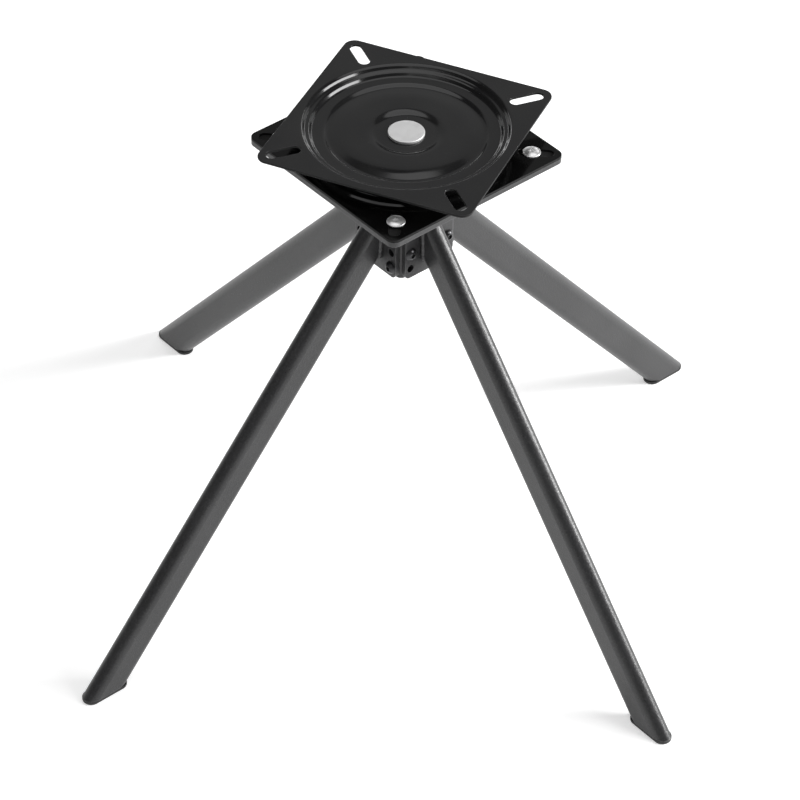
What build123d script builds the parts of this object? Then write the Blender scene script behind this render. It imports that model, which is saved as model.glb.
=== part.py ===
from build123d import *
import os
from math import atan2, cos, degrees, radians, sin, sqrt, tan

# Four-legged swivel seat base. The origin is on the floor under the pivot, +Z is up, and the legs
# point along +X (right), +Y (rear), -X (left) and -Y (front). Lengths are in millimetres.

# Swivel plates: two square pressings, the lower one turned over, with a ball race between them
base_plate_size = 175.0
base_plate_corner_r = 7.0
seat_overhang = 1.0
seat_plate_corner_r = 9.0
sheet_t = 2.0
swivel_height = 21.1
swivel_turn = 26.0
dish_margin = 6.5
dish_border = 3.0
ledge_inset = 4.2
ledge_width = 2.4
ledge_share = 0.55
ledge_fall = 0.4
ring_inset = 12.2
ring_width = 8.4
groove_wall = 2.4
groove_flat = 2.2
crown_slope = 11.0
crown_rise = 1.7
centre_wall = 3.6
centre_r = 24.5
centre_gap = 1.1
bend_r = 1.2
slot_width = 9.5
slot_dish_gap = 2.8
slot_corner_gap = 8.9

# Ball race
ball_d = 4.8
ball_count = 36
race_play = 0.1
race_bite = 0.55
cage_t = 1.6
cage_rim = 0.9
pocket_play = 0.15

# Centre rivet, its washers and its running fit in the upper plate
rivet_r = 6.0
rivet_head_r = 14.5
rivet_head_h = 2.1
rivet_tail_r = 9.0
rivet_tail_h = 2.0
rivet_fit = 0.05
end_play = 0.1
thrust_washer_r = 20.0
tail_washer_r = 12.0
tail_washer_t = 1.5

# Frame top plate and the screws that hold the lower swivel plate to it
frame_plate_t = 4.4
screw_inset = 3.3
screw_r = 3.0
screw_clear = 0.3
thread_clear = 0.05
screw_head_r = 7.2
screw_head_h = 2.1
screw_cross = 6.0
screw_cross_width = 1.2
screw_cross_depth = 1.5
recess_taper = 12.0
head_rim_share = 0.2
nut_flats = 10.0
nut_h = 6.0
nut_flange_r = 6.5
nut_flange_h = 1.4
screw_stick_out = 1.5

# Legs: flat-oval tube, wide in the leg's own vertical plane
tube_depth = 30.5
tube_width = 15.3
tube_wall = 1.5
foot_radius = 314.8
joint_height = 331.7
weld_leg = 5.0
weld_reach = 4.0
weld_toe = 0.5

# Leg brackets, their button-head bolts and the square hub
bracket_t = 4.0
bracket_margin = 10.3
bracket_corner_r = 5.0
bolt_r = 3.0
bolt_hole_clear = 0.4
bolt_head_r = 5.25
bolt_head_h = 3.3
bolt_socket_flats = 4.0
bolt_socket_depth = 2.0
bolt_length = 12.0
bolt_head_gap = 1.1
bolt_edge_gap = 0.25
row_inset = 9.0
row_pitch = 14.5
hub_overhang = 1.5
hub_wall = 3.0
hub_corner_r = 5.0
hub_drop = 1.0
hub_neck = 29.8
hub_weld_leg = 4.0
hub_weld_taper = 40.0

# Foot plugs
sole_t = 3.0
sole_lip = 1.0
sole_edge_r = 1.0
plug_depth = 20.0
plug_clear = 0.15

# Sides of the hub, and the two whose bolts use the higher hole of each pair, so that the bolts of
# neighbouring sides pass each other inside the hub
leg_sides = {"right": 0, "rear": 90, "left": 180, "front": 270}
high_bolt_sides = ("right", "left")

# Hub, brackets and legs, as they follow from the sizes above
bolt_column = tube_width / 2 + weld_leg + bolt_head_gap + bolt_head_r
bracket_width = 2 * (bolt_column + bolt_head_r + bolt_edge_gap)
hub_width = bracket_width + 2 * hub_overhang
bracket_face = hub_width / 2 + bracket_t
leg_lean = degrees(atan2(foot_radius - bracket_face, joint_height))
cut_height = tube_depth / sin(radians(leg_lean))
foot_length = tube_depth / cos(radians(leg_lean))
bracket_height = cut_height + 2 * bracket_margin
bracket_bottom = joint_height - bracket_height / 2
hub_bottom = bracket_bottom - hub_drop
leg_length = (joint_height + tube_depth) / cos(radians(leg_lean))
row_edge = bracket_height / 2 - row_inset
bracket_rows = (-row_edge, row_pitch - row_edge, row_edge - row_pitch, row_edge)

# Heights of the top plate and the swivel, and the radii of the pressings
frame_plate_z = joint_height + bracket_height / 2 + hub_neck
lower_plate_z = frame_plate_z + frame_plate_t
lower_face_z = lower_plate_z + sheet_t
upper_face_z = lower_plate_z + swivel_height
race_z = lower_plate_z + swivel_height / 2
race_gap = ball_d + 2 * race_play - 2 * race_bite
ring_depth = (swivel_height - race_gap) / 2 - sheet_t
dish_depth = (swivel_height - centre_gap) / 2 - sheet_t
ledge_depth = ledge_share * ring_depth
seat_plate_size = base_plate_size + 2 * seat_overhang
dish_r = base_plate_size / 2 - dish_margin
ledge_r = dish_r - ledge_inset
ring_r = dish_r - ring_inset
cage_width = ball_d + 2 * cage_rim
slot_start = dish_r + dish_border + slot_dish_gap
slot_end = base_plate_size / sqrt(2) - slot_corner_gap
slot_length = slot_end - slot_start
slot_radius = (slot_start + slot_end) / 2
screw_radius = slot_radius - screw_inset

os.makedirs("parts", exist_ok=True)


def save(part, name):
    """Label a finished piece and write it to its own STEP file."""
    part.label = name
    export_step(part, f"parts/{name}.step")


def hub_side(azimuth, distance, height):
    """Plane parallel to one side of the hub: x along the side, y up, z outwards."""
    return Plane(
        origin=Vector(distance, 0, height).rotate(Axis.Z, azimuth),
        x_dir=Vector(0, 1, 0).rotate(Axis.Z, azimuth),
        z_dir=Vector(1, 0, 0).rotate(Axis.Z, azimuth),
    )


def leg_section(azimuth):
    """Plane square to a leg where its centre line meets the floor, z up along the leg."""
    lean = radians(leg_lean)
    return Plane(
        origin=Vector(foot_radius, 0, 0).rotate(Axis.Z, azimuth),
        x_dir=Vector(cos(lean), 0, sin(lean)).rotate(Axis.Z, azimuth),
        z_dir=Vector(-sin(lean), 0, cos(lean)).rotate(Axis.Z, azimuth),
    )


def pressed_line(face_z, side):
    """Outline of one face of the pressing from its flat border to the rivet hole."""
    ring_in = ring_r - ring_width / 2
    ring_out = ring_r + ring_width / 2
    groove_out = ring_in - groove_wall
    groove_in = groove_out - groove_flat
    crown_depth = dish_depth - crown_rise
    steps = [
        (dish_r + dish_border, 0),
        (dish_r, 0),
        (ledge_r + ledge_width / 2, ledge_depth - ledge_fall),
        (ledge_r - ledge_width / 2, ledge_depth),
        (ring_out, ring_depth),
        (ring_in, ring_depth),
        (groove_out, dish_depth),
        (groove_in, dish_depth),
        (groove_in - crown_slope, crown_depth),
        (centre_r + centre_wall, crown_depth),
        (centre_r, dish_depth),
        (rivet_r + rivet_fit, dish_depth),
    ]
    points = [(r, face_z + side * depth) for r, depth in steps]
    return FilletPolyline(*points, radius=bend_r)


def on_diagonals(radius):
    """Four places on the plate's diagonals, turned to run along them."""
    return PolarLocations(radius, 4, start_angle=45)


def bolt_sites(rows):
    """Both bolt columns of a bracket at the given rows."""
    return Locations(*[(x, row) for x in (-bolt_column, bolt_column) for row in rows])


def turned_blank(head_r, head_h, shank_r, shank_length):
    """Shank and domed head turned about Z, the underside of the head at z = 0."""
    rim_h = head_rim_share * head_h
    dome_h = head_h - rim_h
    dome_r = (head_r**2 + dome_h**2) / (2 * dome_h)
    with BuildPart() as blank:
        with BuildSketch(Plane.XZ):
            with BuildLine():
                half = Polyline(
                    (0, head_h),
                    (0, -shank_length),
                    (shank_r, -shank_length),
                    (shank_r, 0),
                    (head_r, 0),
                    (head_r, rim_h),
                )
                RadiusArc(half @ 1, half @ 0, -dome_r)
            make_face()
        revolve(axis=Axis.Z)
    return blank.part


def swivel_plate(size, corner_r, face_z, side):
    """One square pressing with its dish, ball groove, rivet hole and diagonal slots.

    face_z is the level of its outer face, and the dish goes down (-1) or up (+1) from there.
    """
    with BuildPart() as pressing:
        with BuildSketch(Plane.XY.offset(face_z)):
            RectangleRounded(size, size, corner_r)
            Circle(dish_r + dish_border, mode=Mode.SUBTRACT)
            with on_diagonals(slot_radius):
                SlotOverall(slot_length, slot_width, mode=Mode.SUBTRACT)
        extrude(amount=side * sheet_t)
        with BuildSketch(Plane.XZ):
            with BuildLine():
                outer = pressed_line(face_z, side)
                inner = pressed_line(face_z + side * sheet_t, side)
                Line(outer @ 0, inner @ 0)
                Line(outer @ 1, inner @ 1)
            make_face()
        revolve(axis=Axis.Z)
        with BuildSketch(Plane.XZ):
            with Locations((ring_r, race_z)):
                Circle(ball_d / 2 + race_play)
        revolve(axis=Axis.Z, mode=Mode.SUBTRACT)
    return pressing.part


# Swivel: the pressings

seat_plate = swivel_plate(seat_plate_size, seat_plate_corner_r, upper_face_z, -1)
save(seat_plate.rotate(Axis.Z, swivel_turn), "swivel_upper_plate")
base_plate = swivel_plate(base_plate_size, base_plate_corner_r, lower_plate_z, 1)
save(base_plate, "swivel_lower_plate")

# Swivel: ring of balls and the flat plastic cage that spaces them

with BuildPart() as race_balls:
    with Locations((0, 0, race_z)):
        with PolarLocations(ring_r, ball_count):
            Sphere(ball_d / 2)
save(race_balls.part, "race_balls")

with BuildPart() as ball_cage:
    with BuildSketch(Plane.XY.offset(race_z - cage_t / 2)):
        Circle(ring_r + cage_width / 2)
        Circle(ring_r - cage_width / 2, mode=Mode.SUBTRACT)
        with PolarLocations(ring_r, ball_count):
            Circle(ball_d / 2 + pocket_play, mode=Mode.SUBTRACT)
    extrude(amount=cage_t)
save(ball_cage.part, "ball_cage")

# Swivel: centre rivet with a broad flat head on top and a formed end below

centre_top_z = upper_face_z - dish_depth
centre_low_z = lower_plate_z + dish_depth
tail_z = centre_low_z - tail_washer_t
head_z = centre_top_z + end_play

with BuildPart() as swivel_rivet:
    with BuildSketch(Plane.XY.offset(tail_z - rivet_tail_h)):
        Circle(rivet_tail_r)
    extrude(amount=rivet_tail_h)
    fillet(swivel_rivet.edges().sort_by(Axis.Z)[0], radius=rivet_tail_h / 2)
    with BuildSketch(Plane.XY.offset(tail_z)):
        Circle(rivet_r)
    extrude(amount=head_z - tail_z)
    with BuildSketch(Plane.XY.offset(head_z)):
        Circle(rivet_head_r)
    extrude(amount=rivet_head_h)
    fillet(swivel_rivet.edges().sort_by(Axis.Z)[-1], radius=rivet_head_h / 3)
save(swivel_rivet.part, "swivel_rivet")

with BuildPart() as thrust_washer:
    with BuildSketch(Plane.XY.offset(centre_low_z + sheet_t)):
        Circle(thrust_washer_r)
        Circle(rivet_r + rivet_fit, mode=Mode.SUBTRACT)
    extrude(amount=centre_gap - end_play)
save(thrust_washer.part, "thrust_washer")

with BuildPart() as rivet_washer:
    with BuildSketch(Plane.XY.offset(tail_z)):
        Circle(tail_washer_r)
        Circle(rivet_r + rivet_fit, mode=Mode.SUBTRACT)
    extrude(amount=tail_washer_t)
save(rivet_washer.part, "rivet_washer")

# Frame top plate

with BuildPart() as frame_top_plate:
    with BuildSketch(Plane.XY.offset(frame_plate_z)):
        RectangleRounded(base_plate_size, base_plate_size, base_plate_corner_r)
    extrude(amount=frame_plate_t)
    with BuildSketch(Plane.XY.offset(frame_plate_z)):
        with on_diagonals(screw_radius):
            Circle(screw_r + screw_clear)
    extrude(amount=frame_plate_t, mode=Mode.SUBTRACT)
save(frame_top_plate.part, "frame_top_plate")

# Pan-head cross-recess screws through the lower plate's slots, and flange nuts under the top plate

screw_length = sheet_t + frame_plate_t + nut_h + screw_stick_out

with BuildPart() as pan_screw:
    add(turned_blank(screw_head_r, screw_head_h, screw_r, screw_length))
    with BuildSketch(Plane.XY.offset(screw_head_h)):
        Rectangle(screw_cross, screw_cross_width)
        Rectangle(screw_cross_width, screw_cross)
    extrude(amount=-screw_cross_depth, taper=recess_taper, mode=Mode.SUBTRACT)

with BuildPart(Plane.XY.offset(lower_face_z)) as plate_screws:
    with on_diagonals(screw_radius):
        add(pan_screw.part)
save(plate_screws.part, "plate_screws")

with BuildPart() as flange_nut:
    with BuildSketch(Plane.XY.offset(-nut_flange_h)):
        Circle(nut_flange_r)
    extrude(amount=nut_flange_h)
    with BuildSketch(Plane.XY.offset(-nut_h)):
        RegularPolygon(nut_flats / 2, 6, major_radius=False)
    extrude(amount=nut_h)
    with BuildSketch(Plane.XY.offset(-nut_h)):
        Circle(screw_r + thread_clear)
    extrude(amount=nut_h, mode=Mode.SUBTRACT)

with BuildPart(Plane.XY.offset(frame_plate_z)) as plate_nuts:
    with on_diagonals(screw_radius):
        add(flange_nut.part)
save(plate_nuts.part, "plate_nuts")

# Square hub tube, welded under the top plate, with threaded bolt holes on all four sides

with BuildPart() as hub_tube:
    with BuildSketch(Plane.XY.offset(hub_bottom)):
        RectangleRounded(hub_width, hub_width, hub_corner_r)
        hub_bore = hub_width - 2 * hub_wall
        RectangleRounded(hub_bore, hub_bore, hub_corner_r - hub_wall, mode=Mode.SUBTRACT)
    extrude(amount=frame_plate_z - hub_bottom)
    for azimuth in leg_sides.values():
        with BuildSketch(hub_side(azimuth, hub_width / 2, joint_height)):
            with bolt_sites(bracket_rows):
                Circle(bolt_r + thread_clear)
        extrude(amount=-hub_corner_r, mode=Mode.SUBTRACT)
save(hub_tube.part, "hub_tube")

with BuildPart() as hub_weld:
    weld_width = hub_width + 2 * hub_weld_leg
    with BuildSketch(Plane.XY.offset(frame_plate_z)):
        RectangleRounded(weld_width, weld_width, hub_corner_r + hub_weld_leg)
    extrude(amount=-hub_weld_leg, taper=hub_weld_taper)
    with BuildSketch(Plane.XY.offset(frame_plate_z)):
        RectangleRounded(hub_width, hub_width, hub_corner_r)
    extrude(amount=-hub_weld_leg, mode=Mode.SUBTRACT)
save(hub_weld.part, "hub_weld")

# One leg on each side of the hub: bracket, bolts, tube, weld bead and foot plug

with BuildPart() as button_bolt:
    add(turned_blank(bolt_head_r, bolt_head_h, bolt_r, bolt_length))
    with BuildSketch(Plane.XY.offset(bolt_head_h)):
        RegularPolygon(bolt_socket_flats / 2, 6, major_radius=False)
    extrude(amount=-bolt_socket_depth, mode=Mode.SUBTRACT)

for side, azimuth in leg_sides.items():
    bracket_plane = hub_side(azimuth, bracket_face, joint_height)
    section = leg_section(azimuth)
    cut_plane = Plane.XY.offset(sole_t)
    used_rows = bracket_rows[1::2] if side in high_bolt_sides else bracket_rows[0::2]

    with BuildPart() as leg_bracket:
        with BuildSketch(bracket_plane):
            RectangleRounded(bracket_width, bracket_height, bracket_corner_r)
            with bolt_sites(bracket_rows):
                Circle(bolt_r + bolt_hole_clear, mode=Mode.SUBTRACT)
        extrude(amount=-bracket_t)
    save(leg_bracket.part, f"leg_bracket_{side}")

    with BuildPart(bracket_plane) as bracket_bolts:
        with bolt_sites(used_rows):
            add(button_bolt.part)
    save(bracket_bolts.part, f"bracket_bolts_{side}")

    with BuildPart() as leg_tube:
        with BuildSketch(section.offset(-tube_depth)):
            SlotOverall(tube_depth, tube_width)
            SlotOverall(tube_depth - 2 * tube_wall, tube_width - 2 * tube_wall, mode=Mode.SUBTRACT)
        extrude(amount=leg_length + tube_depth)
        split(bisect_by=bracket_plane, keep=Keep.TOP)
        split(bisect_by=cut_plane, keep=Keep.TOP)
    save(leg_tube.part, f"leg_tube_{side}")

    with BuildPart() as leg_weld:
        with BuildSketch(bracket_plane):
            SlotOverall(cut_height + 2 * weld_leg, tube_width + 2 * weld_leg, rotation=90)
        toe_drop = weld_reach / tan(radians(leg_lean))
        with BuildSketch(hub_side(azimuth, bracket_face + weld_reach, joint_height - toe_drop)):
            SlotOverall(cut_height + 2 * weld_toe, tube_width + 2 * weld_toe, rotation=90)
        loft(ruled=True)
        with BuildSketch(section):
            SlotOverall(tube_depth, tube_width)
        extrude(amount=leg_length, mode=Mode.SUBTRACT)
    save(leg_weld.part, f"leg_weld_{side}")

    with BuildPart() as foot_plug:
        stem_gap = 2 * (tube_wall + plug_clear)
        with BuildSketch(section.offset(-tube_depth)):
            SlotOverall(tube_depth - stem_gap, tube_width - stem_gap)
        extrude(amount=tube_depth + plug_depth)
        split(bisect_by=cut_plane, keep=Keep.TOP)
        sole_r = foot_radius - sole_t * tan(radians(leg_lean)) - sole_lip / 2
        with BuildSketch(Plane.XY):
            with Locations(Vector(sole_r, 0).rotate(Axis.Z, azimuth)):
                SlotOverall(foot_length + sole_lip, tube_width, rotation=azimuth)
        extrude(amount=sole_t)
        fillet(foot_plug.edges().group_by(Axis.Z)[0], radius=sole_edge_r)
    save(foot_plug.part, f"foot_plug_{side}")
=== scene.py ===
import math

import bmesh
import bpy
from mathutils import Matrix, Vector


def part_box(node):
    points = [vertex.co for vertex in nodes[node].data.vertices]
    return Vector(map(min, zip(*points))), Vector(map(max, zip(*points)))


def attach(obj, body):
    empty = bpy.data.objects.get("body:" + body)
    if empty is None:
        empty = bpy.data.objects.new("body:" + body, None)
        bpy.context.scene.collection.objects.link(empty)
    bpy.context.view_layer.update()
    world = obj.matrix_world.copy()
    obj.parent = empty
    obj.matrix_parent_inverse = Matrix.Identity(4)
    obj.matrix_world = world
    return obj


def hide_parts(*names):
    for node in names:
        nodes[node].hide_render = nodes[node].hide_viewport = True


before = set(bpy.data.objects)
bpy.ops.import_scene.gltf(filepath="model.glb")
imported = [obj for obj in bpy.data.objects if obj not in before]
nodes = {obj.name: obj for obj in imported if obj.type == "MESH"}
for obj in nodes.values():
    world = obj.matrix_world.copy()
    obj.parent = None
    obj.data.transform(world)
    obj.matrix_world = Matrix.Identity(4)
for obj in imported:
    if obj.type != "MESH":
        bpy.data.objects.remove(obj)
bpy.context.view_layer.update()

# Camera. It looks down on the base from its right front corner through a long lens, aimed at a
# point on the swivel's axis, and leans over very slightly.
view_azimuth = math.radians(48.86)
view_elevation = math.radians(40.91)
view_roll = math.radians(1.12)
view_distance = 2.7552
aim = Vector((-0.0006, -0.0006, 0.1398))
away = Vector((
    math.sin(view_azimuth) * math.cos(view_elevation),
    -math.cos(view_azimuth) * math.cos(view_elevation),
    math.sin(view_elevation),
))
level = Vector((math.cos(view_azimuth), math.sin(view_azimuth), 0.0))
upright = away.cross(level)
across = level * math.cos(view_roll) + upright * math.sin(view_roll)
above = upright * math.cos(view_roll) - level * math.sin(view_roll)
camera_data = bpy.data.cameras.new("camera")
camera_data.sensor_width = 36.0
camera_data.lens = 149.93
camera_data.clip_start = 0.1
camera_data.clip_end = 90.0
camera = bpy.data.objects.new("camera", camera_data)
bpy.context.scene.collection.objects.link(camera)
camera.matrix_world = (
    Matrix.Translation(aim + away * view_distance)
    @ Matrix((across, above, away)).transposed().to_4x4()
)
bpy.context.scene.camera = camera

# Studio floor. A plain white sheet, matt and faintly lit from behind, with nothing on it but the
# base; it runs far back and turns up at the end of the room, so that it fills a low view too.
floor_half = 30.0
floor_upturn = 6.0
paper_white = (0.9, 0.9, 0.9, 1.0)
paper_glow = 0.43
floor_shape = bmesh.new()
bmesh.ops.create_grid(floor_shape, x_segments=1, y_segments=1, size=floor_half)
turned_up = bmesh.ops.extrude_edge_only(floor_shape, edges=floor_shape.edges[:])["geom"]
risen = [v for v in turned_up if isinstance(v, bmesh.types.BMVert)]
bmesh.ops.translate(floor_shape, vec=(0.0, 0.0, floor_upturn), verts=risen)
floor_mesh = bpy.data.meshes.new("studio_floor")
floor_shape.to_mesh(floor_mesh)
floor_shape.free()
floor_paper = bpy.data.materials.new("studio_paper")
floor_paper.use_nodes = True
paper_shader = floor_paper.node_tree.nodes["Principled BSDF"]
paper_shader.inputs["Base Color"].default_value = paper_white
paper_shader.inputs["Roughness"].default_value = 0.9
paper_shader.inputs["Specular IOR Level"].default_value = 0.0
paper_shader.inputs["Emission Color"].default_value = (1.0, 1.0, 1.0, 1.0)
paper_shader.inputs["Emission Strength"].default_value = paper_glow
floor_mesh.materials.append(floor_paper)
studio_floor = bpy.data.objects.new("studio_floor", floor_mesh)
bpy.context.scene.collection.objects.link(studio_floor)

# Studio light. A dim room, one wide soft box overhead that lights the floor evenly, and smaller
# ones low round the base, some leaned, whose reflections draw the bright lines on the steel.
room_glow = 0.07
room = bpy.data.worlds.new("studio_room")
room.use_nodes = True
room.node_tree.nodes["Background"].inputs["Color"].default_value = (1.0, 1.0, 1.0, 1.0)
room.node_tree.nodes["Background"].inputs["Strength"].default_value = room_glow
bpy.context.scene.world = room
bpy.context.scene.view_settings.view_transform = "Standard"

light_aim = Vector((0.0, 0.0, 0.35))
soft_boxes = (
    # name, azimuth from +X, elevation and lean in degrees, distance, width, height, radiance
    ("overhead", 0.0, 90.0, 0.0, 2.6, 3.2, 3.2, 1.15),
    ("right", 41.0, 32.0, -26.0, 1.9, 1.2, 0.42, 14.0),
    ("edge", 54.0, 15.0, 0.0, 4.2, 1.0, 0.9, 52.0),
    ("rear", 112.0, 17.0, -49.0, 1.9, 1.26, 0.10, 4.5),
    ("left", 166.0, 17.0, 49.0, 1.9, 1.26, 0.10, 5.0),
    ("front", -75.0, 44.0, 13.0, 2.5, 2.07, 0.22, 2.4),
    ("back", 138.9, 33.0, 0.0, 3.0, 3.2, 1.4, 0.28),
)
for name, azimuth, elevation, lean, distance, width, height, radiance in soft_boxes:
    panel = bpy.data.lights.new(f"soft_box_{name}", "AREA")
    panel.shape = "RECTANGLE"
    panel.size = width
    panel.size_y = height
    panel.energy = radiance * math.pi * width * height
    box = bpy.data.objects.new(f"soft_box_{name}", panel)
    bpy.context.scene.collection.objects.link(box)
    toward = Vector((
        math.cos(math.radians(azimuth)) * math.cos(math.radians(elevation)),
        math.sin(math.radians(azimuth)) * math.cos(math.radians(elevation)),
        math.sin(math.radians(elevation)),
    ))
    box.location = light_aim + toward * distance
    leaned = Matrix.Rotation(math.radians(lean), 3, "Z")
    box.rotation_euler = (toward.to_track_quat("Z", "Y").to_matrix() @ leaned).to_euler()
    box.visible_camera = False

# Hub, brackets and legs. Steel tube and plate, welded or bolted into one frame and powder coated
# charcoal: a fine, even grain with a satin sheen, a little thinner and paler along sharp edges.
# the four sides, with their azimuths from +X in degrees
sides = {"right": 0.0, "rear": 90.0, "left": 180.0, "front": 270.0}


def start_finish(name):
    """A new material, its node tree, its shader and its Object coordinates."""
    finish = bpy.data.materials.new(name)
    finish.use_nodes = True
    tree = finish.node_tree
    coordinates = tree.nodes.new("ShaderNodeTexCoord")
    return finish, tree, tree.nodes["Principled BSDF"], coordinates.outputs["Object"]


def grain(tree, place, scale, detail=2.0, roughness=0.5):
    """Cloudy noise; scale is in features per metre."""
    noise = tree.nodes.new("ShaderNodeTexNoise")
    noise.inputs["Scale"].default_value = scale
    noise.inputs["Detail"].default_value = detail
    noise.inputs["Roughness"].default_value = roughness
    tree.links.new(place, noise.inputs["Vector"])
    return noise.outputs["Fac"]


def spread(tree, value, taken, given=(0.0, 1.0)):
    """Stretches value from the range taken to the range given and holds it there."""
    stretch = tree.nodes.new("ShaderNodeMapRange")
    for label, ends in (("From", taken), ("To", given)):
        stretch.inputs[f"{label} Min"].default_value = ends[0]
        stretch.inputs[f"{label} Max"].default_value = ends[1]
    tree.links.new(value, stretch.inputs["Value"])
    return stretch.outputs["Result"]


def tint(tree, share, colour_a, colour_b):
    """Goes from colour_a to colour_b as share goes from 0 to 1. Either may be a link."""
    mix = tree.nodes.new("ShaderNodeMix")
    mix.data_type = "RGBA"
    tree.links.new(share, mix.inputs["Factor"])
    for socket, colour in ((mix.inputs[6], colour_a), (mix.inputs[7], colour_b)):
        if isinstance(colour, tuple):
            socket.default_value = (*colour, 1.0)
        else:
            tree.links.new(colour, socket)
    return mix.outputs[2]


def relief(tree, height, depth, strength):
    """Bump of the given depth in metres."""
    bump = tree.nodes.new("ShaderNodeBump")
    bump.inputs["Strength"].default_value = strength
    bump.inputs["Distance"].default_value = depth
    tree.links.new(height, bump.inputs["Height"])
    return bump.outputs["Normal"]


def near_edges(tree, radius):
    """1 on sharp edges, falling to 0 at the given distance from them."""
    rounded = tree.nodes.new("ShaderNodeBevel")
    rounded.inputs["Radius"].default_value = radius
    facing = tree.nodes.new("ShaderNodeNewGeometry")
    match = tree.nodes.new("ShaderNodeVectorMath")
    match.operation = "DOT_PRODUCT"
    tree.links.new(rounded.outputs["Normal"], match.inputs[0])
    tree.links.new(facing.outputs["Normal"], match.inputs[1])
    return spread(tree, match.outputs["Value"], (0.98, 0.8))


def lay_on(tree, shader, colour, roughness, bump=None):
    """Joins a finish's colour, roughness and bump to its shader."""
    tree.links.new(colour, shader.inputs["Base Color"])
    tree.links.new(roughness, shader.inputs["Roughness"])
    if bump is not None:
        tree.links.new(bump, shader.inputs["Normal"])


def dress(finish, names):
    """Gives the finish to CAD nodes."""
    for node in names:
        nodes[node].data.materials.clear()
        nodes[node].data.materials.append(finish)


charcoal_thick = (0.0182, 0.0182, 0.019)
charcoal_thin = (0.0252, 0.0252, 0.0262)
coat_speck = (0.065, 0.065, 0.067)
rubbed_coat = (0.12, 0.12, 0.122)
wear_reach = 0.0012
powder_coat, tree, shader, place = start_finish("powder_coat")
speck = grain(tree, place, scale=760.0, detail=3.0, roughness=0.6)
cloud = grain(tree, place, scale=16.0, detail=3.0)
even = tint(tree, spread(tree, cloud, (0.35, 0.65)), charcoal_thick, charcoal_thin)
grainy = tint(tree, spread(tree, speck, (0.52, 0.72), (0.0, 0.5)), even, coat_speck)
worn = tint(tree, near_edges(tree, wear_reach), grainy, rubbed_coat)
satin = spread(tree, speck, (0.3, 0.7), (0.27, 0.4))
lay_on(tree, shader, worn, satin, relief(tree, speck, depth=0.00025, strength=0.75))
dress(powder_coat, ["hub_tube", "hub_weld"])
for side in sides:
    dress(powder_coat, [f"leg_bracket_{side}", f"leg_tube_{side}"])

# Top plate. Thick steel plate welded on the hub and powder coated with it. Its top face, under the
# swivel, is painted dark as shade, the shade that falls under the swivel and shows through its
# slots, and is made dull.
painted_under_swivel_shade = (0.004, 0.004, 0.004)
shade_low = 0.0003
shade_high = 0.0001
plate_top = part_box("frame_top_plate")[1].z
plate_coat = powder_coat.copy()
plate_coat.name = "plate_coat"
tree = plate_coat.node_tree
shader = tree.nodes["Principled BSDF"]
height = tree.nodes.new("ShaderNodeSeparateXYZ")
tree.links.new(tree.nodes["Texture Coordinate"].outputs["Object"], height.inputs["Vector"])
# painted shade: the coat colour goes to near black on the plate's top face, under the swivel
top_face_shade = spread(tree, height.outputs["Z"], (plate_top - shade_low, plate_top - shade_high))
coat_colour = shader.inputs["Base Color"].links[0].from_socket
duller = tree.nodes.new("ShaderNodeMath")
duller.operation = "MAXIMUM"
tree.links.new(shader.inputs["Roughness"].links[0].from_socket, duller.inputs[0])
tree.links.new(top_face_shade, duller.inputs[1])
lay_on(tree, shader, tint(tree, top_face_shade, coat_colour, painted_under_swivel_shade), duller.outputs["Value"])
dress(plate_coat, ["frame_top_plate"])

# Leg welds. One bead runs round the upper end of each leg, where it stands on its bracket, laid by
# hand in short overlapping steps, so that it is ribbed like a row of coins, and coated after.


def show(mesh, name, finishes, body, replaced):
    """Makes an object of a finished mesh, on its body and in place of a CAD node."""
    piece = bpy.data.objects.new(name, mesh)
    bpy.context.scene.collection.objects.link(piece)
    for finish in finishes:
        mesh.materials.append(finish)
    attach(piece, body)
    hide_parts(replaced)
    return piece


def settled(piece):
    """A new mesh of the object with its modifiers or bevel worked out."""
    graph = bpy.context.evaluated_depsgraph_get()
    return bpy.data.meshes.new_from_object(piece.evaluated_get(graph))


def turn_to(azimuth):
    """A turn about the swivel's axis, from +X."""
    return Matrix.Rotation(math.radians(azimuth), 4, "Z")


tube_depth = 0.0305
tube_width = 0.0153
leg_lean = math.atan2(0.2848, 0.3317)
bracket_face = 0.030
joint_height = 0.3317
bead_radius = 0.0024
bead_lift = 0.0010
bead_steps = 320
coin_pitch = 0.0022
coin_swell = 0.22
wander_depth = 0.0003
wander_waves = 7.0
corner_haste = 3.0
round_height = tube_width / math.sin(leg_lean)
straight = tube_depth / math.sin(leg_lean) - round_height
lap = 2.0 * straight + math.pi * (round_height / 2 + tube_width / 2)
bead_path = bpy.data.curves.new("bead_path", "CURVE")
bead_path.dimensions = "3D"
bead_path.bevel_depth = bead_radius
bead_path.bevel_resolution = 3
walk = bead_path.splines.new("POLY")
walk.points.add(bead_steps - 1)
walk.use_cyclic_u = True
for step, point in enumerate(walk.points):
    along = step / bead_steps
    swell = 1.0 + coin_swell * (((along * lap / coin_pitch) % 1.0) - 0.5)
    wander = wander_depth * math.sin(along * 2.0 * math.pi * wander_waves)
    angle = along * 2.0 * math.pi
    y = (tube_width / 2 + wander) * math.cos(angle)
    z = (round_height / 2 + wander) * math.sin(angle)
    shift = math.copysign(straight / 2, math.sin(angle))
    shift *= min(1.0, abs(math.sin(angle)) * corner_haste)
    point.co = (bracket_face + bead_lift, y, joint_height + z + shift, 1.0)
    point.radius = swell
bead_wire = bpy.data.objects.new("bead_wire", bead_path)
bpy.context.scene.collection.objects.link(bead_wire)
for side, azimuth in sides.items():
    bead = settled(bead_wire)
    bead.transform(turn_to(azimuth))
    for face in bead.polygons:
        face.use_smooth = True
    show(bead, f"weld_bead_{side}", [powder_coat], "base", f"leg_weld_{side}")
bpy.data.objects.remove(bead_wire)

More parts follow.
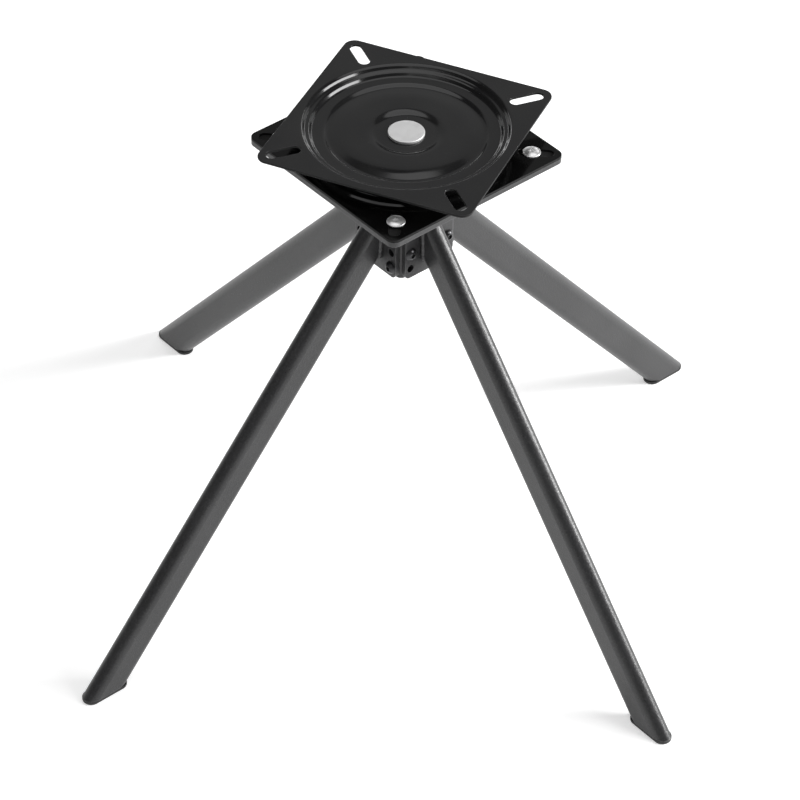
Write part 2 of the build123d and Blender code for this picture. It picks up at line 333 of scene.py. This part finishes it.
# Foot plugs. Moulded plastic, pressed into the cut ends of the legs, with a flat sole that stands
# on the floor; matt black, with the fine spark grain of the mould and some pale scuffs.
plug_black = (0.011, 0.011, 0.011)
plug_scuff = (0.03, 0.03, 0.03)
plug_plastic, tree, shader, place = start_finish("plug_plastic")
spark = grain(tree, place, scale=1600.0, detail=2.0)
scuff = grain(tree, place, scale=90.0, detail=4.0, roughness=0.7)
scuffed = tint(tree, spread(tree, scuff, (0.55, 0.75), (0.0, 0.5)), plug_black, plug_scuff)
matt = spread(tree, spark, (0.3, 0.7), (0.5, 0.65))
lay_on(tree, shader, scuffed, matt, relief(tree, spark, depth=0.0001, strength=0.5))
dress(plug_plastic, [f"foot_plug_{side}" for side in sides])

# Bracket bolts. Button-head socket screws, black plated, tightened into the threaded hub wall; the
# plating is smooth and slightly shiny, with a greyer rim where the key and the die have rubbed.
oxide_dark = (0.035, 0.035, 0.037)
oxide_pale = (0.07, 0.07, 0.072)
rubbed_steel = (0.28, 0.28, 0.28)
rub_reach = 0.0006
black_plate, tree, shader, place = start_finish("black_plate")
shader.inputs["Metallic"].default_value = 0.7
stain = spread(tree, grain(tree, place, scale=260.0, detail=3.0), (0.35, 0.7))
oxide = tint(tree, stain, oxide_dark, oxide_pale)
rubbed = tint(tree, near_edges(tree, rub_reach), oxide, rubbed_steel)
lay_on(tree, shader, rubbed, spread(tree, stain, (0.0, 1.0), (0.25, 0.42)))


def drawn(shape, points):
    """The vertices of a line of (radius, height) points, joined by edges in the XZ plane."""
    corners = [shape.verts.new((r, 0.0, z)) for r, z in points]
    for a, b in zip(corners, corners[1:]):
        shape.edges.new((a, b))
    return corners


def rounded_corners(shape, corners, width, segments):
    """Rounds corner vertices of a flat face or a bare outline."""
    bmesh.ops.bevel(
        shape, geom=corners, affect="VERTICES", offset=width, offset_type="OFFSET",
        segments=segments, profile=0.5, material=-1, clamp_overlap=True,
    )


def spun(shape, steps):
    """Spins a bare line a full turn about Z and closes the shape on its axis."""
    bmesh.ops.spin(
        shape, geom=shape.verts[:] + shape.edges[:], cent=(0, 0, 0), axis=(0, 0, 1),
        angle=math.tau, steps=steps, use_merge=True,
    )
    bmesh.ops.remove_doubles(shape, verts=shape.verts[:], dist=1e-6)


def turned(line, steps):
    """A solid turned from a line of (radius, height, rounding) corners."""
    shape = bmesh.new()
    corners = drawn(shape, [(r, z) for r, z, rounding in line])
    by_width = {}
    for corner, (r, z, rounding) in zip(corners, line):
        by_width.setdefault(rounding, []).append(corner)
    for rounding, group in by_width.items():
        if rounding > 0.0:
            rounded_corners(shape, group, rounding, segments=5)
    spun(shape, steps)
    bmesh.ops.recalc_face_normals(shape, faces=shape.faces[:])
    return shape


def machined(blank, cutter, name):
    """The blank with the cutter's shape taken out of it, as a mesh."""
    pair = []
    for label, shape in (("blank", blank), ("cutter", cutter)):
        mesh = bpy.data.meshes.new(label)
        shape.to_mesh(mesh)
        shape.free()
        pair.append(bpy.data.objects.new(label, mesh))
        bpy.context.scene.collection.objects.link(pair[-1])
    cut = pair[0].modifiers.new("recess", "BOOLEAN")
    cut.operation = "DIFFERENCE"
    cut.solver = "EXACT"
    cut.use_self = True
    cut.object = pair[1]
    soften = pair[0].modifiers.new("soften", "BEVEL")
    soften.limit_method = "ANGLE"
    soften.angle_limit = math.radians(38.0)
    soften.width = 0.00015
    soften.segments = 2
    soften.harden_normals = True
    bpy.context.view_layer.update()
    mesh = settled(pair[0])
    mesh.name = name
    for piece in pair:
        bpy.data.objects.remove(piece)
    for face in mesh.polygons:
        face.use_smooth = True
    return mesh


def set_out(mesh, name, places):
    """One mesh of copies of another, each moved by its own matrix."""
    gathered = bmesh.new()
    for place_matrix in places:
        before = len(gathered.verts)
        gathered.from_mesh(mesh)
        gathered.verts.ensure_lookup_table()
        bmesh.ops.transform(gathered, matrix=place_matrix, verts=gathered.verts[before:])
    result = bpy.data.meshes.new(name)
    gathered.to_mesh(result)
    gathered.free()
    return result


bolt_head_r = 0.00525
bolt_head_h = 0.0033
bolt_shank_r = 0.003
bolt_length = 0.012
bolt_line = (
    # radius, height over the bracket's face, rounding of the corner there
    (0.0, -bolt_length, 0.0),
    (bolt_shank_r, -bolt_length, 0.0006),
    (bolt_shank_r, 0.0, 0.0),
    (bolt_head_r, 0.0, 0.0002),
    (bolt_head_r, 0.0007, 0.0004),
    (0.0044, 0.0021, 0.0009),
    (0.0028, bolt_head_h, 0.0008),
    (0.0, bolt_head_h, 0.0),
)
key_flats = 0.004
key_depth = 0.002
key_radius = key_flats / 2 / math.cos(math.pi / 6)
bolt_column = 0.019
bolt_rows = {"low": (-0.02471, 0.01021), "high": (-0.01021, 0.02471)}
key = bmesh.new()
bmesh.ops.create_cone(
    key, cap_ends=True, segments=6, radius1=key_radius, radius2=key_radius,
    depth=2 * key_depth, matrix=Matrix.Translation((0.0, 0.0, bolt_head_h)),
)
button_mesh = machined(turned(bolt_line, steps=32), key, "button_bolt")
outward = Matrix.Rotation(math.radians(90.0), 4, "Y")
for side, azimuth in sides.items():
    rows = bolt_rows["high" if side in ("right", "left") else "low"]
    places = [
        turn_to(azimuth)
        @ Matrix.Translation((bracket_face, y, joint_height + row)) @ outward
        for y in (-bolt_column, bolt_column) for row in rows
    ]
    name = f"button_bolts_{side}"
    bolts = set_out(button_mesh, name, places)
    show(bolts, name, [black_plate], "base", f"bracket_bolts_{side}")

# Swivel plates. Two square steel pressings, the lower one turned over, in stoved gloss black
# enamel with a faint orange peel and some dust. It lies thin and rough on the sheared rims, and is
# less shiny on the lower plate, whose darker enamel colour is painted shade from the upper plate
# over it.


def enamel(name, dark, pale, shine):
    """Gloss black enamel with dust, faint cloudiness and orange peel."""
    finish, tree, shader, place = start_finish(name)
    shader.inputs["Specular IOR Level"].default_value = shine
    cloud = spread(tree, grain(tree, place, scale=22.0, detail=3.0), (0.3, 0.7))
    dust = grain(tree, place, scale=1500.0, detail=2.0)
    coated = tint(tree, cloud, dark, pale)
    dusty = tint(tree, spread(tree, dust, (0.66, 0.78), (0.0, 0.25)), coated, enamel_dust)
    gloss = spread(tree, cloud, (0.0, 1.0), (0.08, 0.14))
    peel = grain(tree, place, scale=260.0, detail=1.0)
    lay_on(tree, shader, dusty, gloss, relief(tree, peel, depth=0.0001, strength=0.04))
    return finish


def sheared(name, dark, pale):
    """The cut rim of the sheet, where the enamel has drawn back and lies thin and rough."""
    finish, tree, shader, place = start_finish(name)
    shader.inputs["Specular IOR Level"].default_value = 0.2
    rough = grain(tree, place, scale=900.0, detail=3.0, roughness=0.6)
    rough = spread(tree, rough, (0.3, 0.7))
    dull = spread(tree, rough, (0.0, 1.0), (0.5, 0.7))
    bump = relief(tree, rough, depth=0.0001, strength=0.3)
    lay_on(tree, shader, tint(tree, rough, dark, pale), dull, bump)
    return finish


enamel_dust = (0.06, 0.06, 0.06)
sheet = 0.002
upper_size = 0.177
upper_corner = 0.009
upper_turn = 26.0
lower_size = 0.175
lower_corner = 0.007
dish_edge = 0.084
dish_line = (
    # radius, depth from the flat border, width of the bend there
    (0.0840, 0.0, 0.0),
    (0.0812, 0.0, 0.0016),
    (0.0786, 0.00323, 0.0009),
    (0.0756, 0.00363, 0.0009),
    (0.0732, 0.0066, 0.0010),
    (0.0646, 0.0066, 0.0012),
    (0.0618, 0.0080, 0.0010),
    (0.0600, 0.0080, 0.0010),
    (0.0490, 0.0065, 0.0050),
    (0.0290, 0.0065, 0.0030),
    (0.0245, 0.0080, 0.0024),
    (0.00605, 0.0080, 0.0),
)
slot_length = 0.02804
slot_width = 0.0095
slot_corner = slot_width / 2 - 1e-5
slot_radius = 0.10082
bend_steps = 6
corner_steps = 8
round_steps = 180
join_gap = 2e-5


def outline(shape, length, width, corner):
    """A rectangle with rounded corners, as a closed run of edges round Z."""
    made = bmesh.ops.create_grid(shape, x_segments=1, y_segments=1, size=0.5)["verts"]
    bmesh.ops.scale(shape, vec=(length, width, 1.0), verts=made)
    rounded_corners(shape, made, corner, corner_steps)
    bmesh.ops.delete(shape, geom=shape.faces[:], context="FACES_ONLY")


def pressed_plate(name, size, corner, face_z, side, turn):
    """The skin of one pressing; its dish goes down where side is -1 and up where it is 1."""
    skin = bmesh.new()
    corners = drawn(skin, [(r, side * depth) for r, depth, bend in dish_line])
    for corner_vertex, (r, depth, bend) in zip(corners, dish_line):
        if bend > 0.0:
            rounded_corners(skin, [corner_vertex], bend, bend_steps)
    spun(skin, round_steps)
    border = bmesh.new()
    outline(border, size, size, corner)
    for diagonal in range(4):
        before = set(border.verts)
        outline(border, slot_length, slot_width, slot_corner)
        slot_verts = [v for v in border.verts if v not in before]
        bmesh.ops.translate(border, vec=(slot_radius, 0.0, 0.0), verts=slot_verts)
        bmesh.ops.rotate(
            border, cent=(0, 0, 0), verts=slot_verts,
            matrix=Matrix.Rotation(math.radians(45.0 + 90.0 * diagonal), 3, "Z"),
        )
    bmesh.ops.create_circle(border, segments=round_steps, radius=dish_edge)
    bmesh.ops.triangle_fill(border, edges=border.edges[:], use_beauty=True, normal=(0, 0, 1))
    flat = bpy.data.meshes.new("flat")
    border.to_mesh(flat)
    border.free()
    skin.from_mesh(flat)
    bpy.data.meshes.remove(flat)
    bmesh.ops.remove_doubles(skin, verts=skin.verts[:], dist=join_gap)
    bmesh.ops.recalc_face_normals(skin, faces=skin.faces[:])
    if sum(face.normal.z for face in skin.faces) < 0.0:
        bmesh.ops.reverse_faces(skin, faces=skin.faces[:])
    seated = Matrix.Translation((0, 0, face_z)) @ turn_to(turn)
    bmesh.ops.transform(skin, matrix=seated, verts=skin.verts[:])
    for face in skin.faces:
        face.smooth = True
    mesh = bpy.data.meshes.new(name)
    skin.to_mesh(mesh)
    skin.free()
    return mesh


def press(piece):
    """Gives the skin its thickness and takes the sharpness off the sheared rims."""
    thick = piece.modifiers.new("thickness", "SOLIDIFY")
    thick.thickness = sheet
    thick.offset = -1.0
    thick.use_even_offset = True
    thick.material_offset_rim = 1
    rims = piece.modifiers.new("rims", "BEVEL")
    rims.limit_method = "ANGLE"
    rims.angle_limit = math.radians(50.0)
    rims.width = 0.0004
    rims.segments = 3
    rims.harden_normals = True


upper_enamel = enamel("swivel_enamel", (0.006, 0.006, 0.0065), (0.01, 0.01, 0.01), 0.5)
# painted shade: the lower pressing gets a darker copy of the upper enamel, for the shade under the
# upper plate
shaded_lower_enamel = enamel("swivel_enamel_low", (0.002, 0.002, 0.002), (0.004, 0.004, 0.004), 0.22)
rim_enamel = sheared("swivel_rim", (0.004, 0.004, 0.004), (0.012, 0.012, 0.012))
lower_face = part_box("swivel_lower_plate")[0].z + sheet
upper_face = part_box("swivel_upper_plate")[1].z
name = "lower_pressing"
lower_mesh = pressed_plate(name, lower_size, lower_corner, lower_face, 1, 0.0)
lower_finishes = [shaded_lower_enamel, rim_enamel]
press(show(lower_mesh, name, lower_finishes, "base", "swivel_lower_plate"))
name = "upper_pressing"
upper_mesh = pressed_plate(name, upper_size, upper_corner, upper_face, -1, upper_turn)
upper_finishes = [upper_enamel, rim_enamel]
press(show(upper_mesh, name, upper_finishes, "seat_plate", "swivel_upper_plate"))

# Race. Bearing steel balls run between the pressings in a flat nylon cage; a nylon washer takes up
# the gap at the centre.
steel_bare = (0.6, 0.6, 0.6)
steel_greased = (0.72, 0.71, 0.69)
ball_steel, tree, shader, place = start_finish("ball_steel")
shader.inputs["Metallic"].default_value = 1.0
film = spread(tree, grain(tree, place, scale=400.0, detail=2.0), (0.3, 0.7))
polish = spread(tree, film, (0.0, 1.0), (0.08, 0.2))
lay_on(tree, shader, tint(tree, film, steel_bare, steel_greased), polish)
dress(ball_steel, ["race_balls"])
nylon_deep = (0.72, 0.7, 0.64)
nylon_pale = (0.8, 0.78, 0.73)
nylon, tree, shader, place = start_finish("nylon")
shader.inputs["Subsurface Weight"].default_value = 0.1
shader.inputs["Subsurface Radius"].default_value = (0.002, 0.002, 0.002)
milky = spread(tree, grain(tree, place, scale=120.0, detail=3.0), (0.3, 0.7))
waxy = spread(tree, milky, (0.0, 1.0), (0.4, 0.55))
lay_on(tree, shader, tint(tree, milky, nylon_deep, nylon_pale), waxy)
dress(nylon, ["ball_cage", "thrust_washer"])

# Screws, nuts and the lower washer. Cold-formed steel in bright zinc, pale and a little cloudy.
# The four screws hold the lower plate to the top plate, and have pan heads with a cross recess.
zinc_cloudy = (0.72, 0.72, 0.72)
zinc_bright = (0.95, 0.95, 0.95)
zinc, tree, shader, place = start_finish("zinc")
shader.inputs["Metallic"].default_value = 0.8
bloom = grain(tree, place, scale=500.0, detail=3.0, roughness=0.6)
bloom = spread(tree, bloom, (0.3, 0.7))
frosty = spread(tree, bloom, (0.0, 1.0), (0.26, 0.42))
bump = relief(tree, bloom, depth=0.00008, strength=0.3)
lay_on(tree, shader, tint(tree, bloom, zinc_cloudy, zinc_bright), frosty, bump)
dress(zinc, ["plate_nuts", "rivet_washer"])
screw_head_r = 0.0072
screw_head_h = 0.0021
screw_shank_r = 0.003
screw_length = 0.0139
screw_line = (
    # radius, height over the lower plate, rounding of the corner there
    (0.0, -screw_length, 0.0),
    (screw_shank_r, -screw_length, 0.0006),
    (screw_shank_r, 0.0, 0.0),
    (screw_head_r, 0.0, 0.0002),
    (screw_head_r, 0.0009, 0.0004),
    (0.0065, 0.0012, 0.0002),
    (0.0061, 0.0009, 0.0002),
    (0.0045, 0.0017, 0.001),
    (0.0025, screw_head_h, 0.001),
    (0.0, screw_head_h + 0.0001, 0.0),
)
screw_radius = 0.0975
cross_length = 0.0064
cross_width = 0.0013
cross_depth = 0.0015
cross_taper = (0.35, 0.6, 1.0)
cross = bmesh.new()
for quarter in (0.0, 90.0):
    bar = bmesh.ops.create_cube(cross, size=1.0)["verts"]
    bmesh.ops.scale(cross, vec=(cross_length, cross_width, 2 * cross_depth), verts=bar)
    deep = [v for v in bar if v.co.z < 0.0]
    bmesh.ops.scale(cross, vec=cross_taper, verts=deep)
    quarter_turn = Matrix.Rotation(math.radians(quarter), 3, "Z")
    bmesh.ops.rotate(cross, cent=(0, 0, 0), matrix=quarter_turn, verts=bar)
bmesh.ops.translate(cross, vec=(0.0, 0.0, screw_head_h), verts=cross.verts[:])
pan_mesh = machined(turned(screw_line, steps=48), cross, "pan_screw")
places = [
    turn_to(45.0 + 90.0 * corner)
    @ Matrix.Translation((screw_radius, 0.0, lower_face))
    @ turn_to(17.0 + 31.0 * corner)
    for corner in range(4)
]
screws = set_out(pan_mesh, "pan_screws", places)
show(screws, "pan_screws", [zinc], "base", "plate_screws")

# Centre rivet. One solid steel rivet whose broad flat head holds the two plates together, matt
# silver, with the rings of the tool that turned its head.
silver_dark = (0.66, 0.66, 0.66)
silver_pale = (0.78, 0.78, 0.78)
rivet_steel, tree, shader, place = start_finish("rivet_steel")
shader.inputs["Metallic"].default_value = 0.6
rings = tree.nodes.new("ShaderNodeTexWave")
rings.wave_type = "RINGS"
rings.rings_direction = "Z"
rings.inputs["Scale"].default_value = 260.0
rings.inputs["Distortion"].default_value = 1.2
rings.inputs["Detail"].default_value = 2.0
tree.links.new(place, rings.inputs["Vector"])
silver = tint(tree, rings.outputs["Fac"], silver_dark, silver_pale)
patchy = spread(tree, grain(tree, place, scale=300.0, detail=3.0), (0.3, 0.7), (0.42, 0.6))
bump = relief(tree, rings.outputs["Fac"], depth=0.00005, strength=0.3)
lay_on(tree, shader, silver, patchy, bump)
dress(rivet_steel, ["swivel_rivet"])
